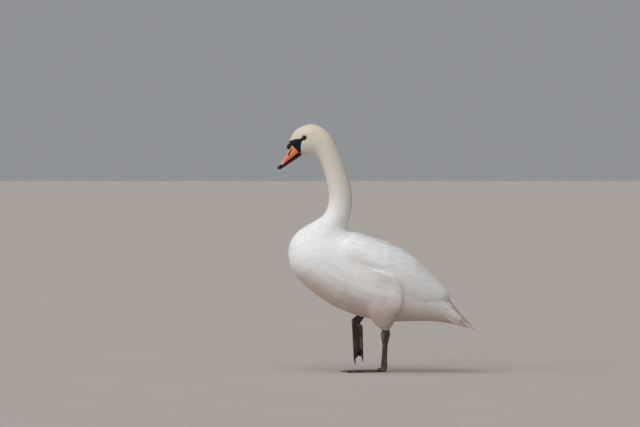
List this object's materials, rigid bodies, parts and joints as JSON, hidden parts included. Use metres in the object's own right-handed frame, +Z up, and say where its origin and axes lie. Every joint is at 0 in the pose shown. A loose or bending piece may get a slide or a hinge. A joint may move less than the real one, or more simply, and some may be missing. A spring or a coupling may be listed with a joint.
{
  "type": "mute swan",
  "caption": "Life-size still model of a white mute swan walking on land, neck raised in a curve, wings folded, a webbed foot lifted and hanging closed.",
  "frame": {"origin": "on the floor, under the middle of the bird's bounding box", "axes": "+Z up, +Y towards the tail, +X towards the bird's left side; the bill faces -Y"},
  "size_m": [0.2638, 0.6158, 0.77],
  "materials": {
    "white_plumage": "overlapping white feathers, matt, faintly stained on the breast",
    "cream_plumage": "short dense feathers like velvet, cream to buff, most yellow on the crown",
    "orange_bill": "smooth horn with a soft shine, orange at the base and pinker towards the tip",
    "black_horn": "black bare skin and horn, softly shining",
    "eye": "wet, very dark brown",
    "leg_skin": "dark grey-brown scaly skin with paler olive-tan patches"
  },
  "bodies": {
    "root": {"trunk": "white_plumage", "tail": "white_plumage", "thigh_left": "white_plumage", "thigh_right": "white_plumage", "wing_left": "white_plumage", "wing_right": "white_plumage", "primaries_left": "white_plumage", "primaries_right": "white_plumage", "head": "cream_plumage", "neck_upper": "cream_plumage", "neck_middle": "cream_plumage", "neck_lower": "cream_plumage", "bill_upper": "orange_bill", "bill_knob": "black_horn", "bill_nail": "black_horn", "bill_lower": "black_horn", "claw_inner_left": "black_horn", "claw_middle_left": "black_horn", "claw_outer_left": "black_horn", "claw_inner_right": "black_horn", "claw_middle_right": "black_horn", "claw_outer_right": "black_horn", "eye_left": "eye", "eye_right": "eye", "palm_left": "leg_skin", "toe_inner_left": "leg_skin", "toe_middle_left": "leg_skin", "toe_outer_left": "leg_skin", "toe_hind_left": "leg_skin", "web_inner_left": "leg_skin", "web_outer_left": "leg_skin", "leg_left": "leg_skin", "palm_right": "leg_skin", "toe_inner_right": "leg_skin", "toe_middle_right": "leg_skin", "toe_outer_right": "leg_skin", "toe_hind_right": "leg_skin", "web_inner_right": "leg_skin", "web_outer_right": "leg_skin", "leg_right": "leg_skin"}
  },
  "joints": []
}
